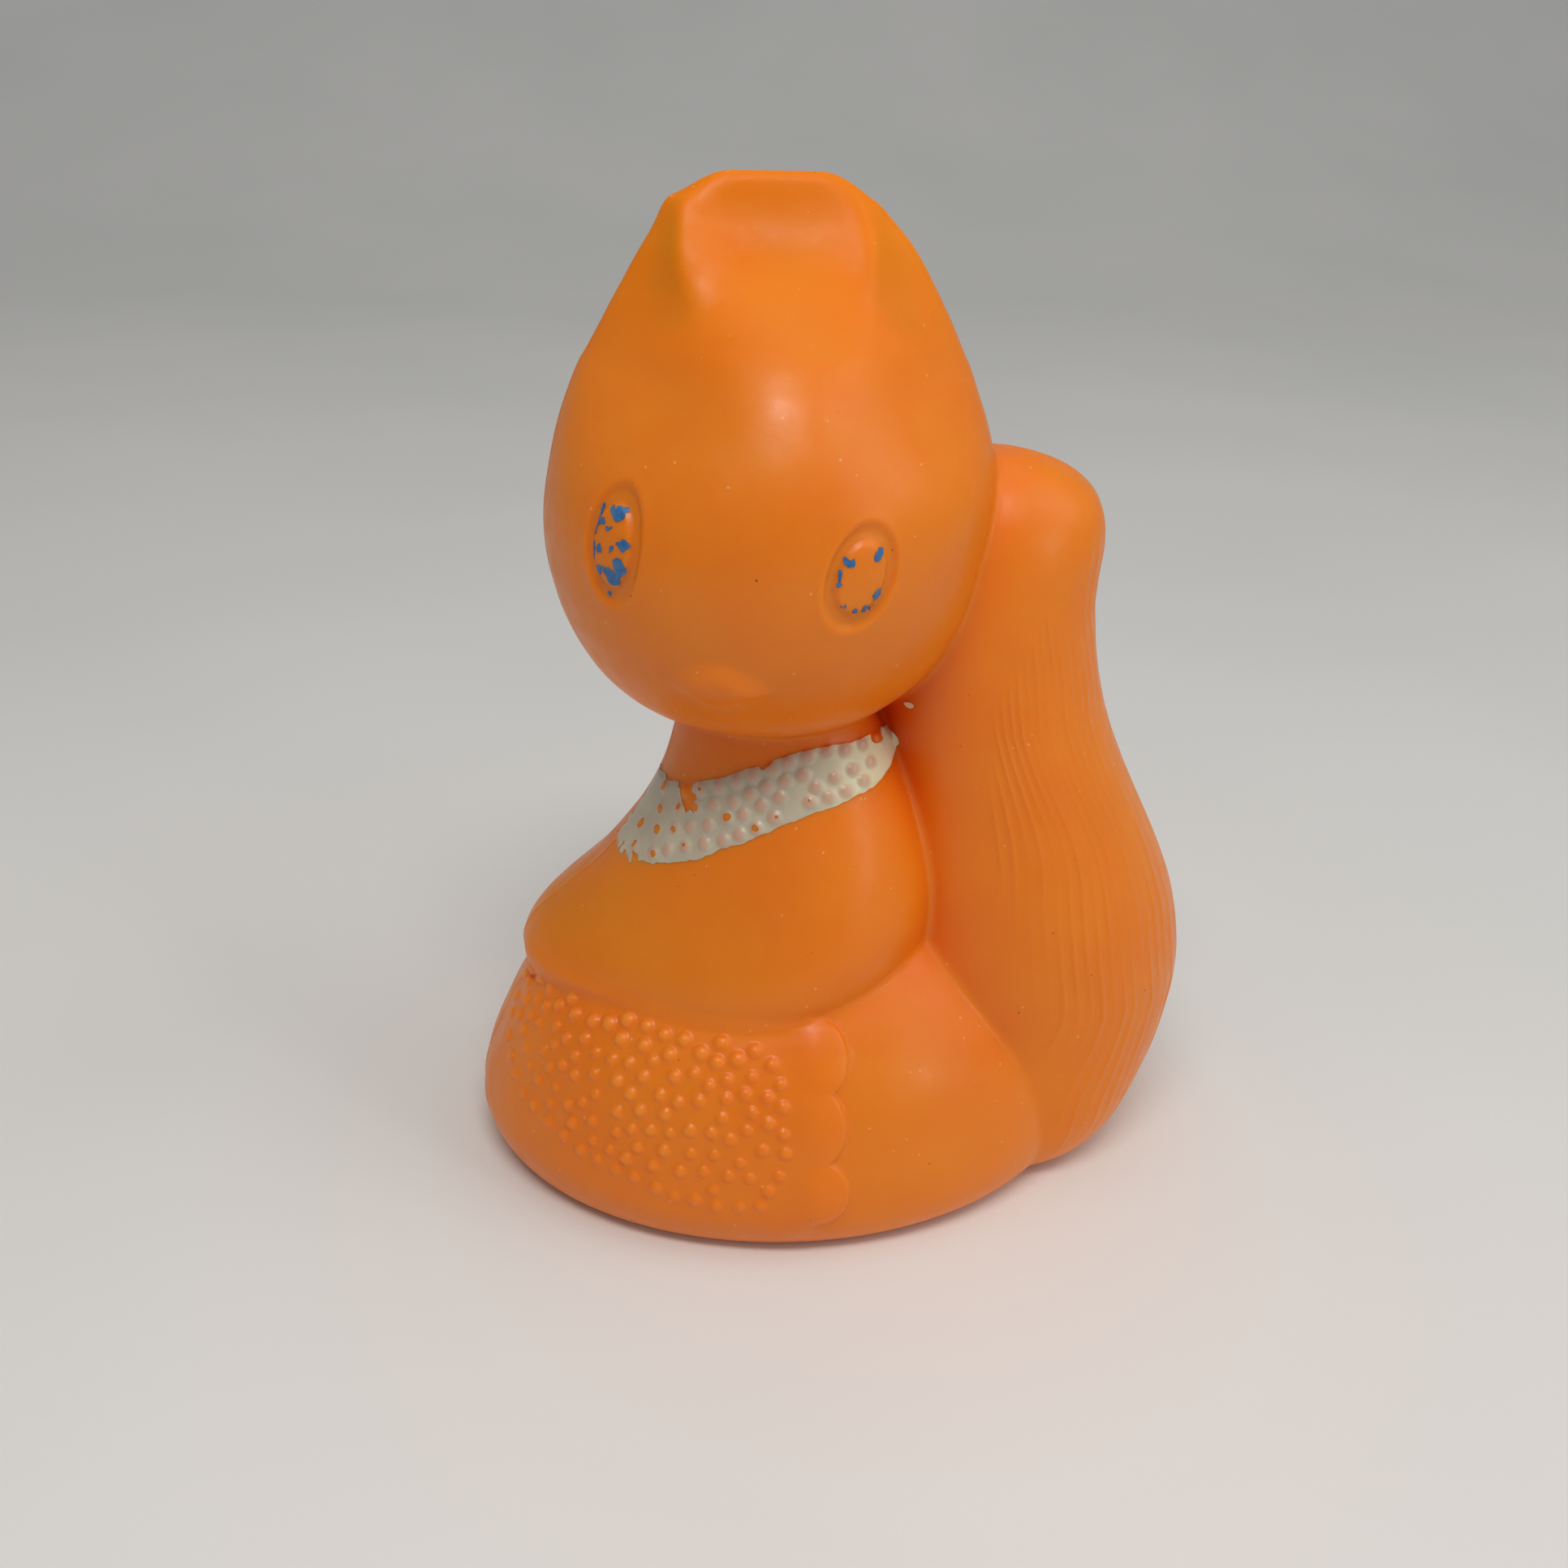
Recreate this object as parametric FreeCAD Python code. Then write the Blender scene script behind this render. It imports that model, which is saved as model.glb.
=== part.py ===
import FreeCAD, Part
import math
import os
from FreeCAD import Vector

# A hollow blow-moulded squirrel figure on a flat base, with a press-in reed squeaker under it.
# Millimetres. +Z is up, -Y is the figure's front, +X is the tail side. The mould's seam lies in
# the XZ plane. The origin is on the ground, under the centre of the whole toy's box.

# Driving dimensions
WALL = 1.5                # wall of the moulded shell
FIGURE_X = -9.3           # upright axis of the figure, off the box centre because of the tail
FILM = 0.25               # paint film, as sprayed on thickly
SQUEAKER_X = -18.0        # axis of the squeaker in the base
BARREL_R = 9.0            # barrel of the squeaker and the hole it is pressed into
BORE_R = 7.8              # inside of the barrel
BARREL_TOP = 12.0
ROOF = 1.0                # roof of the barrel
AIR_HOLE_R = 2.5          # hole in that roof, to the inside of the toy
FLANGE_R = 12.0
FLANGE_BOTTOM = 0.8       # the flange stays clear of the ground
FLANGE = 1.2
SEAL = 0.8                # thickness of the rubber ring
POCKET_R = 12.6           # pocket in the base that takes flange and seal
SNAP = 0.6                # bead on the barrel that holds it behind the floor
COVER_BOTTOM = 1.4
COVER = 1.0
COVER_RIM_R = 6.7         # inside of the cover's rim
SOUND_HOLE_R = 0.9
SOUND_HOLES_ON = 4.2      # radius of their circle
PLATE_BOTTOM = 6.2
PLATE = 0.8
LEDGE = 0.8               # ledge in the barrel that the plate is pressed up against
LEDGE_R = 6.9
RIVET_AT = -4.4           # from the squeaker's axis
RIVET_R = 0.7
RIVET_HEAD_R = 1.3
RIVET_HEAD = 0.45
REED = 0.2                # thickness of the reed tongue
REED_WIDTH = 2.0
REED_TIP = 5.0            # from the squeaker's axis
REED_PAD_R = 1.7          # round root of the reed, about the rivet
REED_GAP = 0.2            # above and below the reed, room for it to tremble
SLOT_WIDTH = 2.5
SLOT_FROM = -2.2          # the slot in the plate that the reed swings into
SLOT_TO = 5.5

# Lobes of the figure, as level sections from bottom to top, measured from the figure's axis:
# height, left edge, right edge, half depth, half depth near the seam (less than half depth
# gives a section that thins out towards the seam).
SKIRT = (
    (0.0, -43.5, 46.0, 34.5, 34.5),
    (3.0, -46.6, 50.0, 37.9, 37.9),
    (8.0, -47.6, 52.0, 39.3, 39.3),
    (15.0, -46.2, 51.4, 38.4, 38.4),
    (22.0, -43.4, 48.2, 36.4, 36.4),
    (29.0, -39.6, 43.4, 33.0, 33.0),
    (36.0, -33.0, 37.2, 27.6, 27.6),
    (42.0, -25.0, 30.2, 22.0, 22.0),
    (47.0, -17.0, 23.0, 16.0, 16.0),
)
TORSO = (
    (26.0, -33.0, 17.0, 22.0, 19.0),
    (30.0, -39.0, 22.0, 26.4, 22.0),
    (36.0, -40.2, 24.8, 28.8, 24.0),
    (43.0, -34.2, 26.0, 28.6, 24.6),
    (51.0, -26.2, 25.2, 25.6, 23.6),
    (60.0, -20.4, 22.0, 21.5, 20.6),
    (68.0, -17.6, 17.6, 17.8, 17.8),
    (76.0, -16.0, 12.8, 15.0, 15.0),
    (84.0, -14.5, 9.0, 13.0, 13.0),
)
HEAD = (
    (72.8, -13.4, 5.0, 9.2, 9.2),
    (77.0, -22.6, 14.0, 18.3, 18.3),
    (84.6, -30.4, 21.8, 25.9, 25.9),
    (94.0, -34.5, 26.0, 29.9, 29.9),
    (103.2, -35.6, 27.4, 31.2, 31.2),
    (112.0, -34.3, 27.5, 30.0, 27.5),
    (120.6, -31.8, 24.9, 26.0, 16.0),
    (129.0, -27.9, 21.1, 19.0, 7.4),
    (136.5, -24.0, 16.9, 8.8, 4.6),
    (142.5, -20.4, 12.6, 4.5, 3.6),
    (146.5, -16.8, 7.8, 3.2, 3.0),
    (148.6, -13.4, 4.4, 2.6, 2.4),
    (149.3, -10.6, 1.8, 1.5, 1.5),
)
EAR_LEFT = (
    (125.0, -22.0, -9.5, 8.0, 8.0),
    (130.0, -22.4, -10.5, 10.6, 10.6),
    (136.0, -21.8, -12.6, 9.4, 9.4),
    (141.0, -20.8, -14.4, 6.6, 6.6),
    (144.6, -19.6, -15.4, 4.2, 4.2),
    (146.2, -18.4, -16.2, 2.6, 2.6),
)
EAR_RIGHT = (
    (125.0, 1.5, 16.0, 8.0, 8.0),
    (130.0, 2.8, 16.4, 10.6, 10.6),
    (136.0, 4.4, 14.6, 9.4, 9.4),
    (141.0, 6.0, 12.6, 6.6, 6.6),
    (144.4, 7.0, 10.4, 4.2, 4.2),
    (145.8, 7.8, 9.4, 2.6, 2.6),
)
TAIL = (
    (0.0, 18.0, 53.0, 20.0, 20.0),
    (3.0, 16.0, 57.4, 24.0, 24.0),
    (10.0, 14.5, 61.6, 26.0, 26.0),
    (19.0, 14.0, 64.8, 25.4, 25.4),
    (31.0, 13.5, 66.2, 24.8, 24.8),
    (45.0, 13.5, 63.0, 23.4, 23.4),
    (56.0, 14.0, 57.8, 21.0, 21.0),
    (66.0, 14.0, 52.6, 18.8, 18.8),
    (76.0, 13.0, 48.3, 17.0, 17.0),
    (84.0, 12.5, 46.0, 16.0, 16.0),
    (92.0, 12.5, 44.9, 15.2, 15.2),
    (100.0, 13.0, 45.3, 14.0, 14.0),
    (106.0, 14.5, 44.2, 11.8, 11.8),
    (110.6, 18.0, 39.4, 8.0, 8.0),
    (113.0, 22.0, 32.4, 3.6, 3.6),
)
TORSO_SKEW = 0.14         # its deepest line is right of its middle, in half widths
LOBES = (
    (SKIRT, 0.0),
    (TORSO, TORSO_SKEW),
    (HEAD, 0.0),
    (EAR_LEFT, 0.0),
    (EAR_RIGHT, 0.0),
    (TAIL, 0.0),
)

# Painted places, as outlines in the XZ plane seen from the front, measured from the figure's axis
COLLAR_OUTLINE = (
    (11.2, 74.0),
    (1.5, 74.4),
    (-5.9, 71.0),
    (-11.9, 67.6),
    (-17.0, 64.8),
    (-22.5, 61.0),
    (-26.5, 55.5),
    (-24.6, 51.6),
    (-20.0, 53.2),
    (-9.8, 58.9),
    (-0.2, 64.9),
    (8.8, 67.2),
    (15.2, 70.6),
)
# Each eye: place across, height, half width, half height and lean in degrees
EYES = {"left": (-26.0, 104.9, 2.5, 6.3, 3.0), "right": (5.2, 103.6, 3.0, 5.6, 16.0)}


def section_wire(section, skew):
    """One closed level section, from its height, edges and half depths."""
    height, left, right, depth, seam_depth = section
    middle = (left + right) / 2.0
    half_width = (right - left) / 2.0
    points = []
    steps = 20
    for step in range(steps):
        angle = 2.0 * math.pi * step / steps
        across = math.cos(angle)
        side = 1.0 if math.sin(angle) >= 0.0 else -1.0
        bulge = (depth - seam_depth) * math.cos(math.pi * across / 2.0) ** 2
        y = seam_depth * math.sin(angle) + side * bulge
        reach = across + skew * math.sin(angle) ** 2
        points.append(Vector(FIGURE_X + middle + half_width * reach, y, height))
    curve = Part.BSplineCurve()
    curve.interpolate(Points=points, PeriodicFlag=True)
    return Part.Wire([curve.toShape()])


def lobe(sections, skew=0.0):
    """A smooth solid through level sections."""
    return Part.makeLoft([section_wire(section, skew) for section in sections], True, False)


def inset(sections, wall):
    """The same lobe smaller by the wall all round."""
    bottom = sections[0][0]
    top = sections[-1][0]
    middle = (bottom + top) / 2.0
    shrink = 1.0 - 2.0 * wall / (top - bottom)
    inner = []
    for height, left, right, depth, seam_depth in sections:
        if seam_depth > wall + 0.8:
            level = middle + (height - middle) * shrink
            inner.append((level, left + wall, right - wall, depth - wall, seam_depth - wall))
    return tuple(inner)


def fused(solids):
    """One solid from several that run into each other."""
    whole = solids[0]
    for solid in solids[1:]:
        whole = whole.fuse(solid)
    return whole


def rod(radius, bottom, top, x=SQUEAKER_X, y=0.0):
    """An upright cylinder."""
    return Part.makeCylinder(radius, top - bottom, Vector(x, y, bottom))


def tube(outer, inner, bottom, top):
    """An upright ring about the squeaker's axis."""
    return rod(outer, bottom, top).cut(rod(inner, bottom, top))


FLANGE_TOP = FLANGE_BOTTOM + FLANGE
POCKET_TOP = FLANGE_TOP + SEAL
FLOOR_TOP = POCKET_TOP + WALL
PLATE_TOP = PLATE_BOTTOM + PLATE
REED_TOP = PLATE_BOTTOM - REED_GAP
REED_BOTTOM = REED_TOP - REED
RIVET_X = SQUEAKER_X + RIVET_AT


def outer_form():
    """The outside of the figure as one solid."""
    return fused([lobe(sections, skew) for sections, skew in LOBES])


def body_shell(outside):
    """The hollow moulding, with a pocket and a hole in its base for the squeaker."""
    inside = fused([lobe(inset(sections, WALL), skew) for sections, skew in LOBES])
    boss = rod(POCKET_R + WALL, WALL / 2.0, FLOOR_TOP)
    shell = outside.cut(inside).fuse(boss)
    shell = shell.cut(rod(POCKET_R, -1.0, POCKET_TOP))
    return shell.cut(rod(BARREL_R, -1.0, FLOOR_TOP + 1.0))


def facing_front(edge):
    """A prism through the front half, from a closed outline in the XZ plane."""
    return Part.Face(Part.Wire([edge])).extrude(Vector(0.0, -60.0, 0.0))


def collar_paint(outside):
    """The coat of paint on the collar, a thin skin on the torso."""
    outline = Part.BSplineCurve()
    points = [Vector(FIGURE_X + x, 0.0, z) for x, z in COLLAR_OUTLINE]
    outline.interpolate(Points=points, PeriodicFlag=True)
    coat = lobe(inset(TORSO, -FILM), TORSO_SKEW)
    return coat.common(facing_front(outline.toShape())).cut(outside)


def eye_paint(outside, eye):
    """The coat of paint on one oval pupil, a thin skin on the head."""
    across, height, half_width, half_height, lean = eye
    ellipse = Part.Ellipse(Vector(0.0, 0.0, 0.0), half_height, half_width)
    outline = ellipse.toShape()
    outline.rotate(Vector(0.0, 0.0, 0.0), Vector(1.0, 0.0, 0.0), 90.0)
    outline.rotate(Vector(0.0, 0.0, 0.0), Vector(0.0, 1.0, 0.0), lean - 90.0)
    outline.translate(Vector(FIGURE_X + across, 0.0, height))
    coat = lobe(inset(HEAD, -FILM))
    return coat.common(facing_front(outline)).cut(outside)


def squeaker_cup():
    """Barrel with its outer flange, the ledge for the reed plate and a roof with an air hole."""
    flange = tube(FLANGE_R, BORE_R, FLANGE_BOTTOM, FLANGE_TOP)
    barrel = tube(BARREL_R, BORE_R, FLANGE_BOTTOM, BARREL_TOP)
    ledge = tube(BARREL_R, LEDGE_R, PLATE_TOP, PLATE_TOP + LEDGE)
    roof = tube(BARREL_R, AIR_HOLE_R, BARREL_TOP - ROOF, BARREL_TOP)
    snap_bead = tube(BARREL_R + SNAP, BORE_R, FLOOR_TOP, FLOOR_TOP + SNAP)
    return fused([barrel, flange, ledge, roof, snap_bead])


def squeaker_cover():
    """Perforated cover, whose rim presses the reed plate against the ledge."""
    disc = rod(BORE_R, COVER_BOTTOM, COVER_BOTTOM + COVER)
    rim = tube(BORE_R, COVER_RIM_R, COVER_BOTTOM, PLATE_BOTTOM)
    cover = disc.fuse(rim)
    cover = cover.cut(rod(SOUND_HOLE_R, 0.0, PLATE_BOTTOM))
    for step in range(6):
        angle = math.pi * step / 3.0
        x = SQUEAKER_X + SOUND_HOLES_ON * math.cos(angle)
        y = SOUND_HOLES_ON * math.sin(angle)
        cover = cover.cut(rod(SOUND_HOLE_R, 0.0, PLATE_BOTTOM, x, y))
    return cover


def seal_ring():
    """Soft ring between the flange and the base."""
    return tube(FLANGE_R - 0.4, BARREL_R + 0.1, FLANGE_TOP, POCKET_TOP)


def bar(first, last, width, bottom, top):
    """An upright-sided bar along X, placed from the squeaker's axis."""
    corner = Vector(SQUEAKER_X + first, -width / 2.0, bottom)
    return Part.makeBox(last - first, width, top - bottom, corner)


def reed_plate():
    """Metal disc with the slot that the reed closes."""
    plate = rod(BORE_R, PLATE_BOTTOM, PLATE_TOP)
    plate = plate.cut(bar(SLOT_FROM, SLOT_TO, SLOT_WIDTH, 0.0, BARREL_TOP))
    return plate.cut(rod(RIVET_R, 0.0, BARREL_TOP, RIVET_X))


def reed_tongue():
    """Springy strip, held at its round root by the rivet."""
    pad = rod(REED_PAD_R, REED_BOTTOM, REED_TOP, RIVET_X)
    strip = bar(RIVET_AT, REED_TIP, REED_WIDTH, REED_BOTTOM, REED_TOP)
    return pad.fuse(strip).cut(rod(RIVET_R + 0.15, 0.0, BARREL_TOP, RIVET_X))


def reed_rivet():
    """Small rivet, headed under the reed and over the plate."""
    head_top = REED_BOTTOM - REED_GAP
    shank = rod(RIVET_R, head_top, PLATE_TOP, RIVET_X)
    lower = rod(RIVET_HEAD_R, head_top - RIVET_HEAD, head_top, RIVET_X)
    upper = rod(RIVET_HEAD_R, PLATE_TOP, PLATE_TOP + RIVET_HEAD, RIVET_X)
    return fused([shank, lower, upper])


def main():
    os.makedirs("parts", exist_ok=True)
    outside = outer_form()
    nodes = {
        "body_shell": body_shell(outside),
        "collar_paint": collar_paint(outside),
        "eye_paint_left": eye_paint(outside, EYES["left"]),
        "eye_paint_right": eye_paint(outside, EYES["right"]),
        "squeaker_cup": squeaker_cup(),
        "squeaker_cover": squeaker_cover(),
        "seal_ring": seal_ring(),
        "reed_plate": reed_plate(),
        "reed_tongue": reed_tongue(),
        "reed_rivet": reed_rivet(),
    }
    for name, shape in nodes.items():
        print(name, shape.isValid(), len(shape.Solids), round(shape.Volume, 2))
        shape.exportStep("parts/" + name + ".step")


main()
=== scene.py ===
import math
import bmesh
import bpy
import numpy as np
from mathutils import Matrix, Vector


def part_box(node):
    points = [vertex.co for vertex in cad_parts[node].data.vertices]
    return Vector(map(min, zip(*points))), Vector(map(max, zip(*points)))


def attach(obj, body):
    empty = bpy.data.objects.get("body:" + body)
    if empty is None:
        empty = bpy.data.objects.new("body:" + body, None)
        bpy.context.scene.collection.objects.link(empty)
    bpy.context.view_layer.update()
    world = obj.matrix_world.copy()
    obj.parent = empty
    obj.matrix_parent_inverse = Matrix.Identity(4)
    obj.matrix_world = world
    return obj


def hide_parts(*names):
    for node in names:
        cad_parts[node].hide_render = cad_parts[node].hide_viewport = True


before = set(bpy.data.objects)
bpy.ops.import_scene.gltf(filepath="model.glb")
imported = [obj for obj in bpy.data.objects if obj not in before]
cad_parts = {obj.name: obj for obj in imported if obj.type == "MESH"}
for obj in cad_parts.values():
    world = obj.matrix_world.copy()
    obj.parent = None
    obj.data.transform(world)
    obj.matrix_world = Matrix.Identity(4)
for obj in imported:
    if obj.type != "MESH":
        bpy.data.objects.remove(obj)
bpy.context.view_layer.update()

# A hollow moulded squirrel toy. Blender works in metres; the sculpting below is in millimetres,
# measured from the figure's upright axis, with +Z up and the figure's front towards -Y.
MM = 0.001
LEFT_REACH = 47.6         # from the figure's axis to the left end of the shell
shell_low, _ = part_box("body_shell")
FIGURE_X = shell_low[0] / MM + LEFT_REACH
cup_low, cup_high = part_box("squeaker_cup")
SQUEAKER_X = (cup_low[0] + cup_high[0]) / 2.0 / MM - FIGURE_X

# The squeaker's pocket and hole in the base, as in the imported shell.
POCKET_R = 12.6
POCKET_TOP = 2.8
HOLE_R = 9.0
FLOOR_TOP = 4.3
ON_IT = 0.05              # how near a face of the pocket or the hole is to these sizes
CUT_FROM = -3.0           # the cutters start below the ground
OVERCUT = 0.4             # and the hole's cutter ends inside the cavity

# How finely the skin is made.
FORM_VOXEL = 0.5
SKIN_VOXEL = 0.30
CROWN_ROUNDS = 120        # rounds of smoothing, for the crown and for the whole skin
SKIN_ROUNDS = 26
WELD = 2e-6
OUTSIDE_FACES = 168000
CAVITY_FACES = 14000
WALL = 1.45
LEAST_ROOM = 0.15         # the cavity's least half depth

FAR = 99.0                # further than anything on the toy
OUTSIDE = -9.0            # well outside any outline

# The tail: heights, its reach on the body side and its reach on the free side.
TAIL_HEIGHTS = (0, 10, 31, 45, 56, 76, 92, 100, 106, 113)
TAIL_INNER = (18, 14.5, 13.5, 13.5, 14, 13, 12.5, 13, 14.5, 22)
TAIL_OUTER = (53, 61.6, 66.2, 63, 57.8, 48.3, 44.9, 45.3, 44.2, 32.4)
HAIR_LINES = 25
HAIR_RISE = 0.13
# Where the hair starts across the tail, by height, from 0 at the body to 1 at the free side.
HAIR_HEIGHTS = (0, 12, 40, 62, 80, 92, 100, 108)
HAIR_START = (0.62, 0.55, 0.38, 0.31, 0.40, 0.62, 0.78, 0.95)
HAIR_FROM_X = 24.0        # the hair is on the tail only

# The apron's beaded field: millimetres round the skirt from its left side, and height.
SKIRT_RADIUS = 40.0
BEAD_FIELD = ((1.0, 32.0), (1.0, 28.0), (6.6, 21.6), (13.8, 17.0), (20.5, 15.4), (30.3, 13.4),
              (38.3, 12.2), (45.9, 10.6), (53.0, 10.6), (59.7, 11.6), (59.7, 32.6), (47.0, 33.2),
              (34.0, 33.4), (20.0, 32.6), (8.0, 31.6))
BEAD_SPACING = 3.15
BEAD_GAP = 2.62
BEAD_R = 1.08
BEAD_RISE = 0.55
APRON_RISE = 0.50
PETAL_RISE = 0.65
# The apron's scalloped right edge in the XZ plane: centre and radius of each scallop.
SCALLOPS = ((1.7, 31.1, 5.3), (-0.3, 22.2, 6.9), (1.6, 12.5, 5.6))

# The collar's outline in the XZ plane.
COLLAR = ((11.4, 73.9), (14.9, 72.9), (16.0, 70.4), (13.4, 68.4), (8.8, 67.2), (-0.2, 64.9),
          (-9.8, 58.9), (-20.7, 52.9), (-25.6, 51.0), (-27.5, 52.5), (-27.5, 57.5), (-22.0, 62.0),
          (-16.6, 64.6), (-11.9, 67.4), (-5.9, 71.0), (1.5, 74.2))
# Its lower and upper edges from the left end, which the rows of beads follow.
COLLAR_LOW = ((-26.0, 51.6), (-20.7, 52.9), (-9.8, 58.9), (-0.2, 64.9), (8.8, 67.4),
              (14.8, 69.6))
COLLAR_HIGH = ((-27.0, 58.0), (-21.6, 62.4), (-11.9, 67.4), (-5.9, 71.0), (1.5, 74.2),
               (13.8, 73.4))
COLLAR_RISE = 0.25
COLLAR_ROWS = 4
COLLAR_STEP = 2.75
COLLAR_GAP = 2.25
COLLAR_BEAD_R = 1.15
COLLAR_DOME = 0.40        # a collar bead's rise over its radius
# Bites out of the collar's paint: centre, half width and half height of each.
NOTCHES = ((-15.4, 64.6, 1.0, 3.0), (11.6, 73.6, 1.1, 1.3), (-5.0, 71.6, 1.2, 0.9),
           (3.0, 74.8, 1.6, 0.7))
FLECK = (16.4, 78.0)      # a splash of the paint above its right end
THIN_SHIFT = (-0.30, 0.0, -0.05)   # from each bead to the place where its paint is thinnest
# Each film's outer side over the plastic, and the film's thickness.
COLLAR_FILM = (0.13, 0.20)
EYE_FILM = (0.11, 0.17)

# Each eye's socket: centre, half width, half height, and how far its top leans right in degrees.
EYES = {"left": ((-26.3, -20.9, 105.5), 5.1, 8.4, 0.0),
        "right": ((4.5, -29.9, 104.1), 5.1, 7.5, 17.0)}
EYE_DEPTH = 8.0           # skin further behind the socket's centre isn't part of the eye
HEAD_MIDDLE = (-4.1, 0.0, 103.2)
PUPIL = 0.62              # the pupil's size in socket sizes
MOAT_DEPTH = 0.50
PUPIL_RISE = 0.62         # over the moat's floor, at its rim
PUPIL_DOME = 0.12         # and this much more in its middle
LIP_RISE = 0.10
# Flakes of blue left on each pupil: across, up, half width and half height in pupil sizes.
FLAKES = {"left": ((0.20, 0.80, 0.42, 0.17), (-0.92, 0.35, 0.10, 0.34), (-0.93, -0.25, 0.11, 0.32),
                   (-0.60, 0.52, 0.17, 0.09), (0.72, 0.12, 0.27, 0.14), (0.55, -0.42, 0.28, 0.20),
                   (0.25, -0.74, 0.30, 0.18), (-0.14, -0.62, 0.20, 0.12), (-0.58, -0.16, 0.22, 0.10),
                   (-0.10, 0.42, 0.10, 0.05), (0.10, -0.05, 0.10, 0.06), (-0.55, -0.66, 0.14, 0.15),
                   (-0.30, -1.28, 0.12, 0.06)),
          "right": ((-0.74, 0.36, 0.21, 0.11), (0.36, 0.77, 0.17, 0.16), (0.93, -0.32, 0.25, 0.19),
                    (-1.00, -0.16, 0.08, 0.24), (0.70, -0.79, 0.20, 0.08), (0.12, -0.90, 0.10, 0.06),
                    (-0.50, -0.84, 0.09, 0.05))}

# The snout's centre, its half sizes and its rise.
SNOUT = (-12.9, -26.1, 87.6)
SNOUT_SIZE = (5.6, 12.0, 3.6)
SNOUT_RISE = 1.1
SEAM_RISE = 0.16          # the mould's seam, all round the toy
SEAM_WIDTH = 0.35
RIPPLES = ((0.07, 24.0, 1), (0.02, 7.0, 2))   # height, wavelength and seed

# The crown: half depth by height, along the middle of the scoop and along the ears' ridges,
# and each ridge's place across the head, from 0 at the left outline to 1 at the right.
CROWN_LOW = 123.0
CROWN_TOP = 149.4
CROWN_SLOT = 0.4          # height of the slices that its outline is read in
CROWN_SMOOTH_FROM = 125.0
CROWN_HEIGHTS = (123, 125, 128, 131, 134, 137, 140, 143, 145, 147, 149.3)
CROWN_MIDDLE = (24.4, 22.9, 20.2, 16.4, 11.9, 7.9, 5.0, 3.1, 2.2, 1.5, 0.8)
CROWN_RIDGE = (24.4, 22.9, 20.3, 16.8, 12.8, 9.2, 6.3, 4.0, 2.8, 1.7, 0.8)
RIDGE_LEFT = (0.26, 0.26, 0.25, 0.23, 0.20, 0.155, 0.115, 0.085, 0.07, 0.06, 0.06)
RIDGE_RIGHT = (0.69, 0.69, 0.70, 0.72, 0.74, 0.775, 0.82, 0.86, 0.89, 0.91, 0.93)
CREST = 0.8               # half depth along the very top


# ---------------------------------------------------------------- meshes and numbers

def get_points(mesh):
    """The vertices in millimetres from the figure's axis."""
    flat = np.empty(len(mesh.vertices) * 3)
    mesh.vertices.foreach_get("co", flat)
    where = flat.reshape(-1, 3) / MM
    where[:, 0] -= FIGURE_X
    return where


def set_points(mesh, where):
    """Moves the vertices to places in millimetres from the figure's axis."""
    moved = where.copy()
    moved[:, 0] += FIGURE_X
    mesh.vertices.foreach_set("co", (moved * MM).ravel())
    mesh.update()


def get_normals(mesh):
    flat = np.empty(len(mesh.vertices) * 3)
    mesh.vertex_normals.foreach_get("vector", flat)
    return flat.reshape(-1, 3)


def get_triangles(mesh):
    mesh.calc_loop_triangles()
    flat = np.empty(len(mesh.loop_triangles) * 3, dtype=np.int32)
    mesh.loop_triangles.foreach_get("vertices", flat)
    return flat.reshape(-1, 3)


def add_object(name, data):
    piece = bpy.data.objects.new(name, data)
    bpy.context.scene.collection.objects.link(piece)
    return piece


def apply_modifier(piece, kind, **settings):
    """Adds one modifier and makes its result the mesh."""
    modifier = piece.modifiers.new(kind, kind)
    for key, value in settings.items():
        setattr(modifier, key, value)
    graph = bpy.context.evaluated_depsgraph_get()
    result = bpy.data.meshes.new_from_object(piece.evaluated_get(graph), depsgraph=graph)
    piece.modifiers.remove(modifier)
    piece.data = result


def smooth_shading(mesh, angle=None):
    """Smooth shading, with edges sharper than the angle, in degrees, kept sharp."""
    mesh.polygons.foreach_set("use_smooth", np.ones(len(mesh.polygons), dtype=bool))
    if angle is not None:
        mesh.set_sharp_from_angle(angle=math.radians(angle))
    mesh.update()


def set_attribute(mesh, name, values):
    attribute = mesh.attributes.new(name, "FLOAT", "POINT")
    attribute.data.foreach_set("value", values.astype(np.float32))


# ---------------------------------------------------------------- fields

def smooth_step(value, low, high):
    t = np.clip((value - low) / (high - low), 0.0, 1.0)
    return t * t * (3.0 - 2.0 * t)


def waves(where, length, seed):
    """Soft noise between about -1 and 1, from a few sine waves of about that wavelength."""
    random = np.random.default_rng(seed)
    total = np.zeros(len(where))
    count = 7
    for _ in range(count):
        direction = random.normal(size=3)
        direction /= np.linalg.norm(direction)
        stretch = random.uniform(0.7, 1.6)
        phase = random.uniform(0.0, 2.0 * math.pi)
        total += np.sin(where @ direction * (2.0 * math.pi / (length * stretch)) + phase)
    return total / math.sqrt(count)


def outline_distance(across, height, outline):
    """Signed distance to a closed outline, positive inside."""
    nearest = np.full(len(across), 1e9)
    inside = np.zeros(len(across), dtype=bool)
    for (ax, az), (bx, bz) in zip(outline, np.roll(outline, -1, axis=0)):
        ex, ez = bx - ax, bz - az
        t = np.clip(((across - ax) * ex + (height - az) * ez) / (ex * ex + ez * ez), 0.0, 1.0)
        nearest = np.minimum(nearest, np.hypot(across - ax - t * ex, height - az - t * ez))
        crosses = (az > height) != (bz > height)
        level = (height - az) / (ez if ez != 0.0 else 1.0)
        inside ^= crosses & (across < ax + level * ex)
    return np.where(inside, nearest, -nearest)


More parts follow.
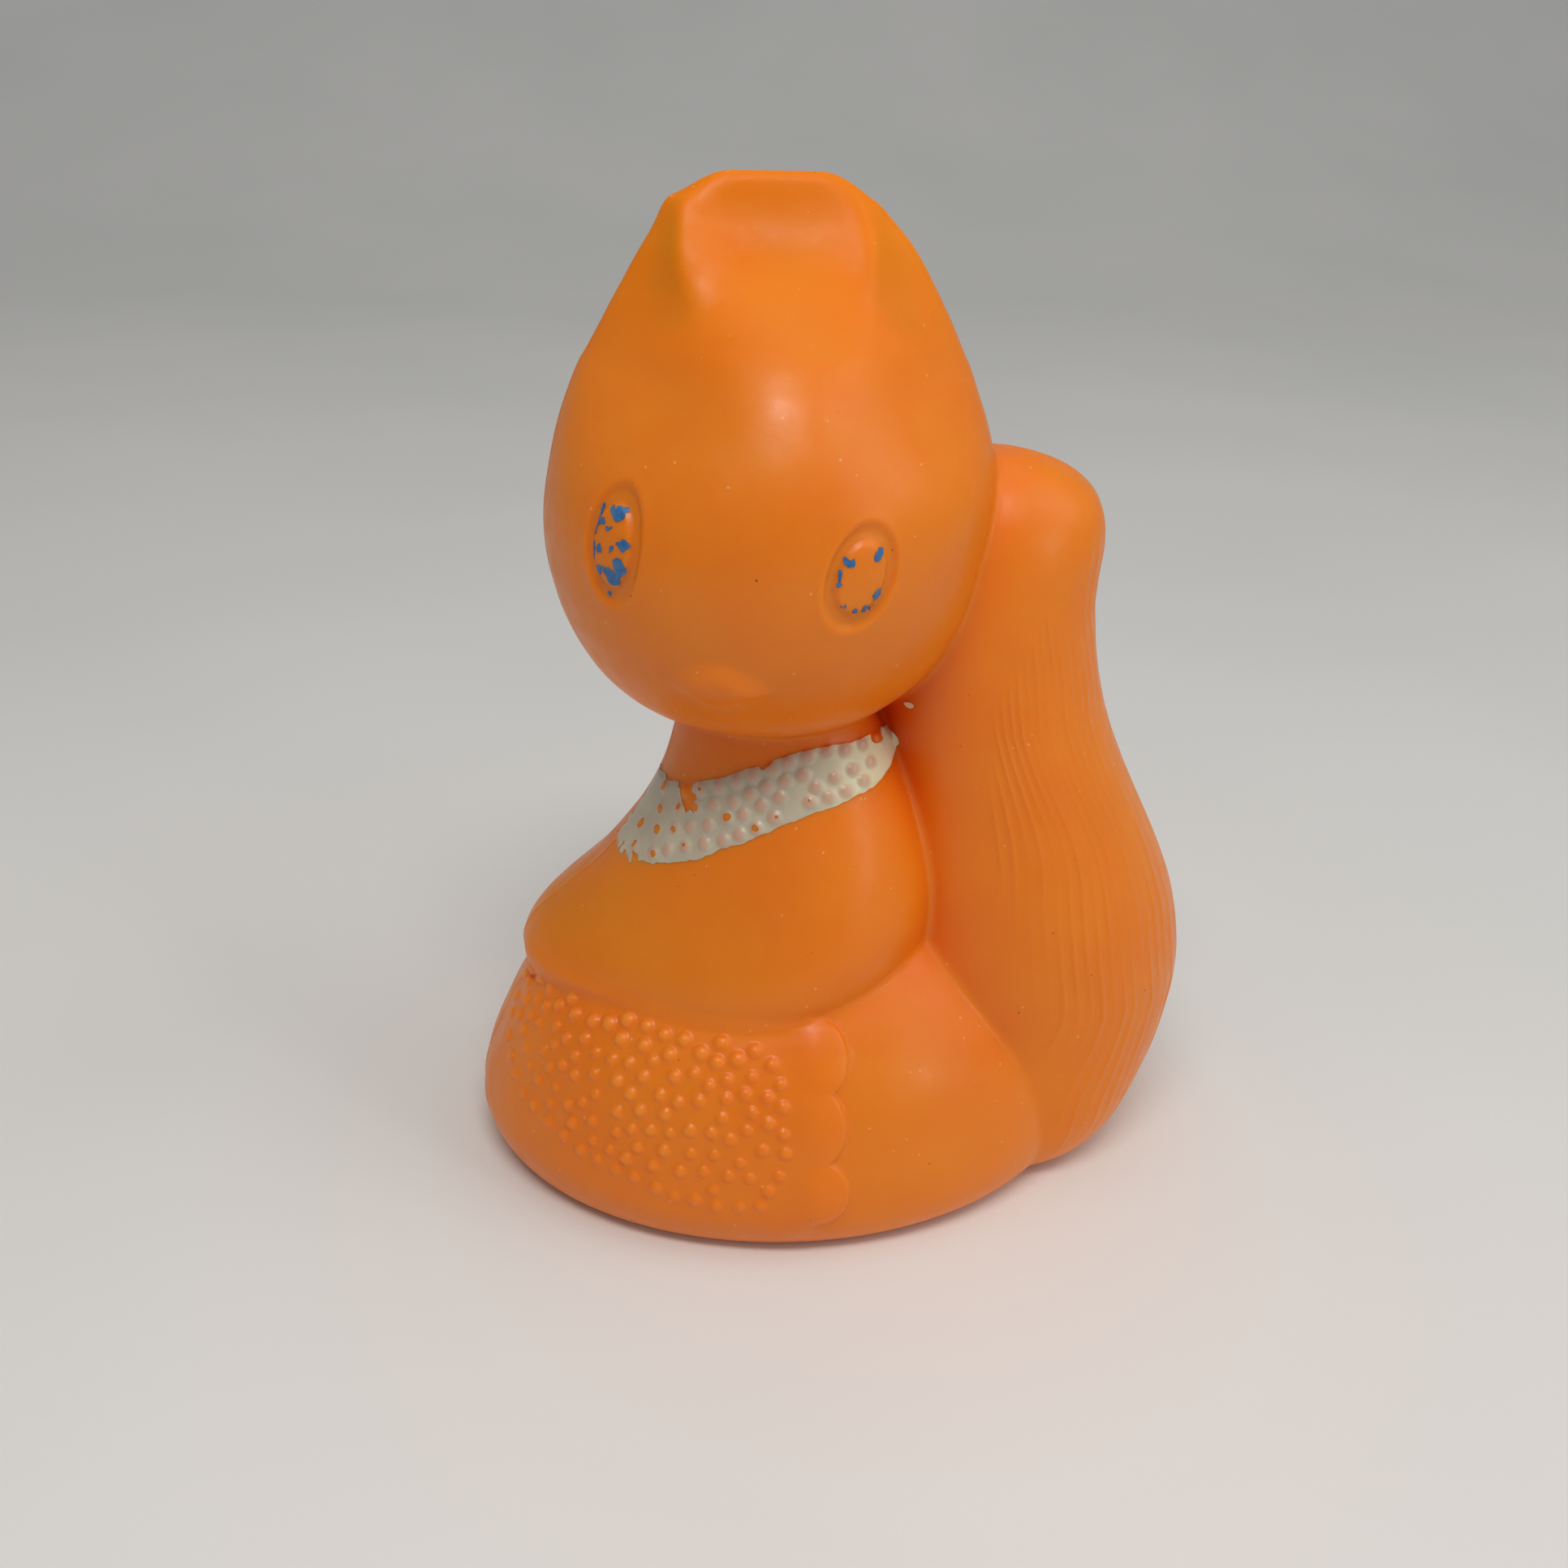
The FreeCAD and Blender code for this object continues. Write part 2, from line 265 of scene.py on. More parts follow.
def rounded(outline, rounds):
    """The outline with its corners cut, for a soft curve."""
    corners = np.array(outline, dtype=float)
    for _ in range(rounds):
        following = np.roll(corners, -1, axis=0)
        cut = np.empty((len(corners) * 2, 2))
        cut[0::2] = corners * 0.75 + following * 0.25
        cut[1::2] = corners * 0.25 + following * 0.75
        corners = cut
    return corners


def chain(outline, spacing):
    """Evenly spaced places along a closed outline."""
    corners = np.vstack([outline, outline[:1]])
    along = np.concatenate([[0.0], np.cumsum(np.linalg.norm(np.diff(corners, axis=0), axis=1))])
    steps = np.arange(0.0, along[-1] - spacing * 0.6, spacing)
    return np.stack([np.interp(steps, along, corners[:, axis]) for axis in (0, 1)], axis=1)


def scattered(candidates, gap, seed, first=()):
    """Places among the candidates, at least gap apart, in random order after the first ones."""
    random = np.random.default_rng(seed)
    candidates = candidates[random.permutation(len(candidates))]
    kept = []
    for place in first:
        if all(np.linalg.norm(place - other) > gap * 0.85 for other in kept):
            kept.append(place)
            candidates = candidates[np.sum((candidates - place) ** 2, axis=1) > gap * gap]
    while len(candidates):
        place = candidates[0]
        kept.append(place)
        candidates = candidates[np.sum((candidates - place) ** 2, axis=1) > gap * gap]
    return np.array(kept)


def domes(where, places, radii, rises):
    """The height of a field of beads over its ground; each bead is a part of a sphere."""
    total = np.zeros(len(where))
    for place, radius, rise in zip(places, radii, rises):
        near = np.flatnonzero(np.abs(where - place).max(axis=1) < radius * 1.3)
        distance = np.linalg.norm(where[near] - place, axis=1)
        ball = (radius * radius + rise * rise) / (2.0 * rise)
        bead = np.sqrt(np.maximum(ball * ball - distance * distance, 0.0)) - (ball - rise)
        foot = 0.05 * rise * np.exp(-((distance - radius) / (0.2 * radius)) ** 2)
        total[near] = np.maximum(total[near], np.maximum(bead, 0.0) + foot)
    return total


# ---------------------------------------------------------------- the shell's form

def split_shell():
    """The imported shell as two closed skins: its outside, with no pocket, and its cavity."""
    mesh = bmesh.new()
    mesh.from_mesh(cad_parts["body_shell"].data)
    bmesh.ops.remove_doubles(mesh, verts=mesh.verts, dist=WELD)
    axis = (SQUEAKER_X + FIGURE_X) * MM
    doomed = []
    for face in mesh.faces:
        radius = max(math.hypot(v.co.x - axis, v.co.y) for v in face.verts) / MM
        top = max(v.co.z for v in face.verts) / MM
        in_pocket = radius < POCKET_R + ON_IT and top < POCKET_TOP + ON_IT
        in_hole = radius < HOLE_R + ON_IT and top < FLOOR_TOP + ON_IT
        if in_pocket or in_hole:
            doomed.append(face)
    bmesh.ops.delete(mesh, geom=doomed, context="FACES")
    bmesh.ops.holes_fill(mesh, edges=[edge for edge in mesh.edges if edge.is_boundary], sides=0)
    top_vertex = max(mesh.verts, key=lambda v: v.co.z)
    outside = {top_vertex}
    waiting = [top_vertex]
    while waiting:
        vertex = waiting.pop()
        for edge in vertex.link_edges:
            other = edge.other_vert(vertex)
            if other not in outside:
                outside.add(other)
                waiting.append(other)
    flags = [vertex in outside for vertex in mesh.verts]
    skins = []
    for keep_outside in (True, False):
        part = mesh.copy()
        gone = [vertex for vertex, flag in zip(part.verts, flags) if flag != keep_outside]
        bmesh.ops.delete(part, geom=gone, context="VERTS")
        result = bpy.data.meshes.new("skin")
        part.to_mesh(result)
        part.free()
        skins.append(result)
    mesh.free()
    return skins


def eye_axes(centre, lean):
    """Directions across the eye, up it and out of the face."""
    out = Vector([at - middle for at, middle in zip(centre, HEAD_MIDDLE)]).normalized()
    across = Vector((0.0, 0.0, 1.0)).cross(out).normalized()
    turn = Matrix.Rotation(math.radians(-lean), 3, out)
    return np.array(turn @ across), np.array(turn @ out.cross(across)), np.array(out)


def eye_place(where, side):
    """Across and up the eye in socket sizes, far away where the point isn't on the face."""
    centre, half_width, half_height, lean = EYES[side]
    across, up, out = eye_axes(centre, lean)
    offset = where - np.array(centre)
    lost = np.where(offset @ out < -EYE_DEPTH, FAR, 0.0)
    return offset @ across / half_width + lost, offset @ up / half_height


def eye_relief(where, side):
    """A moat with a raised oval pupil in its middle and a soft lip round it."""
    across, up = eye_place(where, side)
    radius = np.hypot(across, up)
    moat = -MOAT_DEPTH * (1.0 - smooth_step(radius, 0.84, 1.0))
    dome = PUPIL_RISE + PUPIL_DOME * np.maximum(1.0 - (radius / PUPIL) ** 2, 0.0)
    pupil = dome * (1.0 - smooth_step(radius, 0.56, 0.72))
    lip = LIP_RISE * np.exp(-((radius - 1.06) / 0.09) ** 2)
    return moat + pupil + lip


def hair(where, facing):
    """The hair lines' count across the tail, and how strongly they show."""
    level = where[:, 2]
    inner = np.interp(level, TAIL_HEIGHTS, TAIL_INNER)
    outer = np.interp(level, TAIL_HEIGHTS, TAIL_OUTER)
    fraction = (where[:, 0] - inner) / (outer - inner)
    bend = 0.8 * np.sin(level / 16.0 + 0.6) + 0.35 * np.sin(level / 5.1 + fraction * 9.0)
    across = fraction * HAIR_LINES + bend * (1.15 - fraction) + 0.5 * waves(where, 34.0, 5)
    start = np.interp(level, HAIR_HEIGHTS, HAIR_START)
    shown = smooth_step(fraction, start, start + 0.06)
    shown *= smooth_step(level, 2.0, 12.0) * (1.0 - smooth_step(level, 99.0, 107.0))
    line = np.floor(across)
    fading = 0.60 + 0.40 * np.sin(level / (8.0 + 2.6 * np.sin(line * 4.7)) + line * 2.4)
    return across, shown * fading * facing


def ridges(across):
    """Soft narrow ridges, one for each whole number across."""
    return np.exp(-((across - np.floor(across) - 0.5) / 0.2) ** 2)


def crown_outline(where):
    """The crown's left and right reach at a set of heights."""
    levels = np.arange(CROWN_LOW - 1.0, CROWN_TOP, CROWN_SLOT)
    slot = np.floor((where[:, 2] - levels[0]) / CROWN_SLOT).astype(int)
    high = (slot >= 0) & (slot < len(levels))
    left = np.full(len(levels), FAR)
    right = np.full(len(levels), -FAR)
    np.minimum.at(left, slot[high], where[high, 0])
    np.maximum.at(right, slot[high], where[high, 0])
    kept = right > left
    return levels[kept], left[kept], right[kept]


def crown_depth(where, outline):
    """The crown's half depth: a dome below, and a scoop between two ear ridges above."""
    level = where[:, 2]
    left = np.interp(level, outline[0], outline[1])
    right = np.interp(level, outline[0], outline[2])
    across = np.clip((where[:, 0] - left) / np.maximum(right - left, 1.0), 0.0, 1.0)
    middle = np.interp(level, CROWN_HEIGHTS, CROWN_MIDDLE)
    ridge = np.interp(level, CROWN_HEIGHTS, CROWN_RIDGE)
    first = np.interp(level, CROWN_HEIGHTS, RIDGE_LEFT)
    second = np.interp(level, CROWN_HEIGHTS, RIDGE_RIGHT)
    between = np.clip((across - first) / (second - first), 0.0, 1.0)
    scoop = ridge + (middle - ridge) * np.sin(math.pi * between) ** 1.2
    flank = np.clip(np.minimum(across / first, (1.0 - across) / (1.0 - second)), 0.0, 1.0)
    eared = scoop * (0.35 * np.sqrt(flank) + 0.65 * flank ** 1.7)
    dome = CREST + (middle - CREST) * np.sin(math.pi * across) ** 1.05
    return np.maximum(dome + (eared - dome) * smooth_step(level, 129.0, 142.0), CREST)


def shape_crown(mesh):
    """Gives the head's top its scoop and ears, front and back, within the same outline."""
    where = get_points(mesh)
    outline = crown_outline(where)
    depth = crown_depth(where, outline)
    formed = depth * np.clip(where[:, 1] / 0.6, -1.0, 1.0)
    weight = smooth_step(where[:, 2], CROWN_LOW, 130.0)
    where[:, 1] += (formed - where[:, 1]) * weight
    set_points(mesh, where)
    return outline


def skirt_place(where):
    """Millimetres round the skirt from its left side, and height."""
    return np.arctan2(-where[:, 1], -where[:, 0]) * SKIRT_RADIUS, where[:, 2]


def apron_beads(where):
    """Places and radii of the apron's beads: a chain along its edge, and scattered inside."""
    around, height = skirt_place(where)
    outline = rounded(BEAD_FIELD, 1)
    inside = outline_distance(around, height, outline)
    rim = np.flatnonzero((np.abs(inside) < 1.5) & (where[:, 1] < 1.0))
    random = np.random.default_rng(11)
    first = []
    for place_around, place_height in chain(outline, BEAD_SPACING):
        if place_height < 31.0:
            jitter = random.uniform(-0.3, 0.3, 2)
            miss = np.hypot(around[rim] - place_around - jitter[0],
                            height[rim] - place_height - jitter[1])
            first.append(where[rim[np.argmin(miss)]])
    places = scattered(where[(inside > 0.35) & (where[:, 1] < 1.0)], BEAD_GAP, 23, first)
    radii = BEAD_R * random.uniform(0.88, 1.08, len(places))
    radii[places[:, 2] > 30.0] *= 1.15
    return places, radii


def apron_relief(where):
    """The apron's thickness, with a petal at each scallop."""
    edge = np.full(len(where), OUTSIDE)
    petals = np.zeros(len(where))
    for centre_x, centre_z, radius in SCALLOPS:
        distance = np.hypot(where[:, 0] - centre_x, where[:, 2] - centre_z)
        edge = np.maximum(edge, radius - distance)
        petals = np.maximum(petals, np.clip(1.0 - (distance / radius) ** 2, 0.0, 1.0))
    edge = np.maximum(edge, 2.2 - where[:, 0])
    body = APRON_RISE * smooth_step(edge, -0.10, 0.60) * smooth_step(-where[:, 1], 0.0, 7.0)
    body *= smooth_step(where[:, 2], 3.0, 9.0) * (1.0 - smooth_step(where[:, 2], 34.5, 37.0))
    petals *= PETAL_RISE * smooth_step(where[:, 0], -2.5, 2.5) * (where[:, 1] < -15.0)
    return body + petals


def collar_inside(where):
    """Distance inside the collar's outline, which ends a little behind the seam."""
    inside = outline_distance(where[:, 0], where[:, 2], rounded(COLLAR, 1))
    behind = -where[:, 1] + 1.6 + 0.5 * waves(where, 5.0, 31)
    return np.where(where[:, 1] < 6.0, np.minimum(inside, behind), OUTSIDE)


def collar_beads_at(where):
    """Rows of beads between the collar's edges; crowded ones are left out."""
    low = np.array(COLLAR_LOW)
    high = np.array(COLLAR_HIGH)
    ground = where[(collar_inside(where) > 0.85) & (where[:, 1] < 1.5)]
    random = np.random.default_rng(3)
    kept = []
    for row in range(COLLAR_ROWS - 1, -1, -1):
        part = (row + 0.55) / COLLAR_ROWS
        line = low * (1.0 - part) + high * part
        along = np.concatenate([[0.0], np.cumsum(np.linalg.norm(np.diff(line, axis=0), axis=1))])
        for step in np.arange(0.6 + COLLAR_STEP / 2.0 * (row % 2), along[-1], COLLAR_STEP):
            spot_x = np.interp(step, along, line[:, 0]) + random.uniform(-0.2, 0.2)
            spot_z = np.interp(step, along, line[:, 1]) + random.uniform(-0.2, 0.2)
            miss = np.hypot(ground[:, 0] - spot_x, ground[:, 2] - spot_z)
            if miss.min() > 0.4:
                continue
            place = ground[np.argmin(miss)]
            if all(np.linalg.norm(place - other) > COLLAR_GAP for other in kept):
                kept.append(place)
    return np.array(kept)


split = split_shell()
shell = add_object("shell", split[0])
apply_modifier(shell, "REMESH", mode="VOXEL", voxel_size=FORM_VOXEL * MM)
crown = shape_crown(shell.data)
apply_modifier(shell, "REMESH", mode="VOXEL", voxel_size=SKIN_VOXEL * MM)
group = shell.vertex_groups.new(name="crown")
crown_vertices = np.flatnonzero(get_points(shell.data)[:, 2] > CROWN_SMOOTH_FROM)
group.add(crown_vertices.tolist(), 1.0, "REPLACE")
apply_modifier(shell, "SMOOTH", factor=0.5, iterations=CROWN_ROUNDS, vertex_group="crown")
shell.vertex_groups.clear()
apply_modifier(shell, "SMOOTH", factor=0.5, iterations=SKIN_ROUNDS)
points = get_points(shell.data)
normals = get_normals(shell.data)
x, y, z = points.T
front = smooth_step(-y, -0.2, 0.6)

bead_places, bead_radii = apron_beads(points)
apron = apron_relief(points)
beads = domes(points, bead_places, bead_radii, bead_radii * BEAD_RISE / BEAD_R)

collar = collar_inside(points)
collar_places = collar_beads_at(points)
collar_radii = np.full(len(collar_places), COLLAR_BEAD_R)
collar_beads = domes(points, collar_places, collar_radii, collar_radii * COLLAR_DOME)

hair_across, hair_amount = hair(points, smooth_step(np.abs(y), 0.5, 2.0))
hair_amount = hair_amount * (x > HAIR_FROM_X)
snout_offset = np.abs((points - np.array(SNOUT)) / np.array(SNOUT_SIZE))
snout = SNOUT_RISE * np.exp(-((snout_offset ** 1.4).sum(axis=1)) ** 3.0)
seam = SEAM_RISE * np.exp(-(y / SEAM_WIDTH) ** 2) * smooth_step(z, 4.0, 9.0)
ripple = sum(rise * waves(points, length, seed) for rise, length, seed in RIPPLES)

relief = apron + beads * (y < 1.6) + collar_beads
relief += COLLAR_RISE * smooth_step(collar, -0.3, 0.6) * front
relief += sum(eye_relief(points, side) for side in EYES)
relief += HAIR_RISE * ridges(hair_across) * hair_amount
relief += snout + seam + ripple * smooth_step(z, 1.0, 6.0)
sculpted = points + normals * relief[:, None]
sculpted[:, 2] = np.where(z < 1.0, np.maximum(sculpted[:, 2], 0.0), sculpted[:, 2])
set_points(shell.data, sculpted)
skin_normals = get_normals(shell.data)
skin_triangles = get_triangles(shell.data)


# ---------------------------------------------------------------- paint films

def film(name, field, lift, thickness, attributes):
    """A thin closed skin over the shell wherever the field is positive, with crisp edges."""
    value = field[skin_triangles]
    touched = skin_triangles[(value > 0.0).any(axis=1)]
    corner_of = {}
    sources = []
    faces = []

    def corner(a, b):
        key = (a, b) if a < b else (b, a)
        if key not in corner_of:
            t = 0.0 if a == b else field[key[0]] / (field[key[0]] - field[key[1]])
            corner_of[key] = len(sources)
            sources.append((key[0], key[1], t))
        return corner_of[key]

    for triangle in touched.tolist():
        ring = []
        for a, b in zip(triangle, triangle[1:] + triangle[:1]):
            if field[a] > 0.0:
                ring.append(corner(a, a))
            if (field[a] > 0.0) != (field[b] > 0.0):
                ring.append(corner(a, b))
        for index in range(1, len(ring) - 1):
            faces.append((ring[0], ring[index], ring[index + 1]))

    source = np.array(sources)
    start = source[:, 0].astype(int)
    end = source[:, 1].astype(int)
    t = source[:, 2][:, None]
    ground = sculpted[start] * (1.0 - t) + sculpted[end] * t
    outward = skin_normals[start] * (1.0 - t) + skin_normals[end] * t
    outward /= np.linalg.norm(outward, axis=1)[:, None]
    count = len(ground)
    where = np.vstack([ground + outward * lift, ground + outward * (lift - thickness)])
    where[:, 0] += FIGURE_X
    used = {(a, b) for face in faces for a, b in zip(face, face[1:] + face[:1])}
    walls = [(b, a, a + count, b + count) for a, b in used if (b, a) not in used]
    under = [(c + count, b + count, a + count) for a, b, c in faces]
    mesh = bpy.data.meshes.new(name)
    mesh.from_pydata((where * MM).tolist(), [], faces + under + sorted(walls))
    for key, values in attributes.items():
        mixed = values[start] * (1.0 - t[:, 0]) + values[end] * t[:, 0]
        set_attribute(mesh, key, np.concatenate([mixed, mixed]))
    smooth_shading(mesh, 50)
    return add_object(name, mesh)


def collar_paint_field():
    """The collar's paint, chipped off some beads and ragged at its edges and its left end."""
    random = np.random.default_rng(8)
    torn = smooth_step(-x, 19.0, 24.0)
    field = collar + 0.16 * waves(points, 5.0, 41)
    field = field + (0.07 + 0.55 * torn) * waves(points, 1.6, 42) - 0.5 * torn
    worn = np.clip((-14.0 - collar_places[:, 0]) / 9.0, 0.0, 1.0)
    for place, wear in zip(collar_places, worn):
        if random.uniform() < (0.10 if place[0] > -9.0 else 0.3) + 0.7 * wear:
            radius = random.uniform(0.30, 0.65) + 0.20 * wear
            offset = points - place - random.uniform(-0.35, 0.35, 3)
            near = np.linalg.norm(offset, axis=1) + 0.12 * waves(points, 1.1, 43)
            field = np.minimum(field, (near - radius) * 1.5)
    for notch_x, notch_z, half_width, half_height in NOTCHES:
        notch = np.hypot((x - notch_x) / half_width, (z - notch_z) / half_height) - 1.0
        notch = notch * min(half_width, half_height) + 0.2 * waves(points, 1.6, 44)
        field = np.minimum(field, notch)
    fleck = 0.45 - np.hypot((x - FLECK[0]) / 1.4, z - FLECK[1]) + 0.12 * waves(points, 1.5, 45)
    return np.where(y < 0.0, np.maximum(field, fleck), field)


def eye_paint_field(side):
    """The flakes of paint left on one pupil."""
    across, up = eye_place(points, side)
    across, up = across / PUPIL, up / PUPIL
    field = np.full(len(points), OUTSIDE)
    ragged = 0.07 * waves(points, 1.3, 51) + 0.05 * waves(points, 0.7, 52)
    for flake_across, flake_up, half_width, half_height in FLAKES[side]:
        size = np.hypot((across - flake_across) / half_width, (up - flake_up) / half_height)
        field = np.maximum(field, (1.0 - size) * min(half_width, half_height) + ragged * 0.6)
    return np.where(np.hypot(across, up) < 1.6, field, OUTSIDE)


thin_tops = domes(points, collar_places + np.array(THIN_SHIFT), collar_radii,
                  collar_radii * COLLAR_DOME)
collar_film = film("collar_paint_film", collar_paint_field(), *COLLAR_FILM,
                   {"bead": thin_tops / (COLLAR_BEAD_R * COLLAR_DOME),
                    "right_end": smooth_step(x, -2.0, 12.0)})
eye_films = {side: film("eye_paint_film_" + side, eye_paint_field(side), *EYE_FILM, {})
             for side in EYES}


# ---------------------------------------------------------------- hollowing

def cylinder(name, radius, low, high):
    """An upright cutter on the squeaker's axis."""
    mesh = bmesh.new()
    bmesh.ops.create_cone(mesh, cap_ends=True, segments=128, radius1=radius * MM,
                          radius2=radius * MM, depth=(high - low) * MM)
    bmesh.ops.translate(mesh, verts=mesh.verts,
                        vec=((SQUEAKER_X + FIGURE_X) * MM, 0.0, (high + low) * MM / 2.0))
    result = bpy.data.meshes.new(name)
    mesh.to_mesh(result)
    mesh.free()
    return add_object(name, result)


apply_modifier(shell, "TRIANGULATE")
apply_modifier(shell, "DECIMATE", ratio=OUTSIDE_FACES / len(shell.data.polygons))
cavity = add_object("cavity", split[1])
cavity.data.flip_normals()
apply_modifier(cavity, "TRIANGULATE")
hollow = get_points(cavity.data)
room = np.maximum(crown_depth(hollow, crown) - WALL, LEAST_ROOM)
fitted = np.clip(hollow[:, 1], -room, room)
hollow[:, 1] = np.where(hollow[:, 2] > CROWN_LOW + 3.0, fitted, hollow[:, 1])
set_points(cavity.data, hollow)
apply_modifier(cavity, "DECIMATE", ratio=CAVITY_FACES / len(cavity.data.polygons))
tools = [cavity, cylinder("pocket", POCKET_R, CUT_FROM, POCKET_TOP),
         cylinder("hole", HOLE_R, CUT_FROM, FLOOR_TOP + OVERCUT)]
for tool in tools:
    apply_modifier(shell, "BOOLEAN", operation="DIFFERENCE", solver="MANIFOLD", object=tool)
for tool in tools:
    bpy.data.objects.remove(tool)
apply_modifier(shell, "TRIANGULATE")

points = get_points(shell.data)
hair_across, hair_amount = hair(points, smooth_step(np.abs(points[:, 1]), 0.5, 2.0))
# The beads' height, which the material turns into a painted highlight on their tops.
bead_height = domes(points, bead_places, bead_radii, bead_radii * 0.75)
set_attribute(shell.data, "bead", np.clip(bead_height / (BEAD_R * 0.6), 0.0, 1.0))
set_attribute(shell.data, "hair_across", hair_across)
set_attribute(shell.data, "hair_amount", hair_amount * (points[:, 0] > HAIR_FROM_X))
smooth_shading(shell.data, 60)


# ---------------------------------------------------------------- materials

def new_material(name, **sockets):
    """A Principled material, with constants for the named sockets."""
    material = bpy.data.materials.new(name)
    material.use_nodes = True
    shader = material.node_tree.nodes["Principled BSDF"]
    for socket, value in sockets.items():
        shader.inputs[socket.replace("_", " ")].default_value = value
    return material, shader


def node(material, kind, **settings):
    """A shader node; each setting is one of its properties or its inputs."""
    made = material.node_tree.nodes.new(kind)
    for key, value in settings.items():
        if hasattr(made, key):
            setattr(made, key, value)
        else:
            made.inputs[key.replace("_", " ")].default_value = value
    return made


def link(material, source, target):
    material.node_tree.links.new(source, target)


def mapped(material, source, low, high, to_low, to_high):
    """The source's range from low to high, clamped and brought to another range."""
    ramp = node(material, "ShaderNodeMapRange")
    ramp.inputs["From Min"].default_value = low
    ramp.inputs["From Max"].default_value = high
    ramp.inputs["To Min"].default_value = to_low
    ramp.inputs["To Max"].default_value = to_high
    link(material, source, ramp.inputs["Value"])
    return ramp.outputs["Result"]


def mixed(material, factor, first, second):
    """A mix of two colours; each is a colour or a socket."""
    mix = node(material, "ShaderNodeMix", data_type="RGBA")
    link(material, factor, mix.inputs["Factor"])
    for socket, tint in ((mix.inputs[6], first), (mix.inputs[7], second)):
        if isinstance(tint, tuple):
            socket.default_value = tint
        else:
            link(material, tint, socket)
    return mix.outputs[2]


def calculated(material, operation, first, second=0.0):
    """Arithmetic on one or two values; each is a number or a socket."""
    step = node(material, "ShaderNodeMath", operation=operation)
    for socket, value in zip(step.inputs, (first, second)):
        if isinstance(value, (int, float)):
            socket.default_value = value
        else:
            link(material, value, socket)
    return step.outputs[0]


def noise(material, scale, detail=3.0, stretch=None):
    """Noise in object space; scale is in features to the metre."""
    texture = node(material, "ShaderNodeTexNoise", Scale=scale, Detail=detail)
    place = node(material, "ShaderNodeTexCoord")
    vector = place.outputs["Object"]
    if stretch is not None:
        turn = node(material, "ShaderNodeMapping", Rotation=stretch[0], Scale=stretch[1])
        link(material, vector, turn.inputs["Vector"])
        vector = turn.outputs["Vector"]
    link(material, vector, texture.inputs["Vector"])
    return texture.outputs["Fac"]


def specks(material, scale, size):
    """1 in small round specks, about scale to the metre each way."""
    texture = node(material, "ShaderNodeTexVoronoi", Scale=scale, Randomness=1.0)
    place = node(material, "ShaderNodeTexCoord")
    link(material, place.outputs["Object"], texture.inputs["Vector"])
    dot = mapped(material, texture.outputs["Distance"], size, size * 0.6, 0.0, 1.0)
    chosen = mapped(material, texture.outputs["Color"], 0.62, 0.66, 0.0, 1.0)
    return calculated(material, "MULTIPLY", dot, chosen)


def bumped(material, shader, heights):
    """Chains bumps; each is a height socket, a strength and a distance in metres."""
    previous = None
    for height, strength, distance in heights:
        bump = node(material, "ShaderNodeBump", Strength=strength, Distance=distance)
        link(material, height, bump.inputs["Height"])
        if previous is not None:
            link(material, previous, bump.inputs["Normal"])
        previous = bump.outputs["Normal"]
    link(material, previous, shader.inputs["Normal"])


def attribute(material, name):
    """A value that the mesh keeps at its vertices."""
    return node(material, "ShaderNodeAttribute", attribute_name=name).outputs["Fac"]


def colour(red, green, blue):
    """An sRGB colour given in 0-255, as Blender's linear colour."""
    linear = []
    for value in (red, green, blue):
        part = value / 255.0
        linear.append(part / 12.92 if part <= 0.04045 else ((part + 0.055) / 1.055) ** 2.4)
    return (*linear, 1.0)


def clouded(name, clouds, colours, grain, **sockets):
    """A material of two colours in clouds (scale, detail, low, high), with a fine grain
    (scale, detail, strength, distance)."""
    material, shader = new_material(name, **sockets)
    scale, detail, low, high = clouds
    cover = mapped(material, noise(material, scale, detail), low, high, 0.0, 1.0)
    link(material, mixed(material, cover, *colours), shader.inputs["Base Color"])
    scale, detail, strength, distance = grain
    bumped(material, shader, ((noise(material, scale, detail), strength, distance),))
    return material


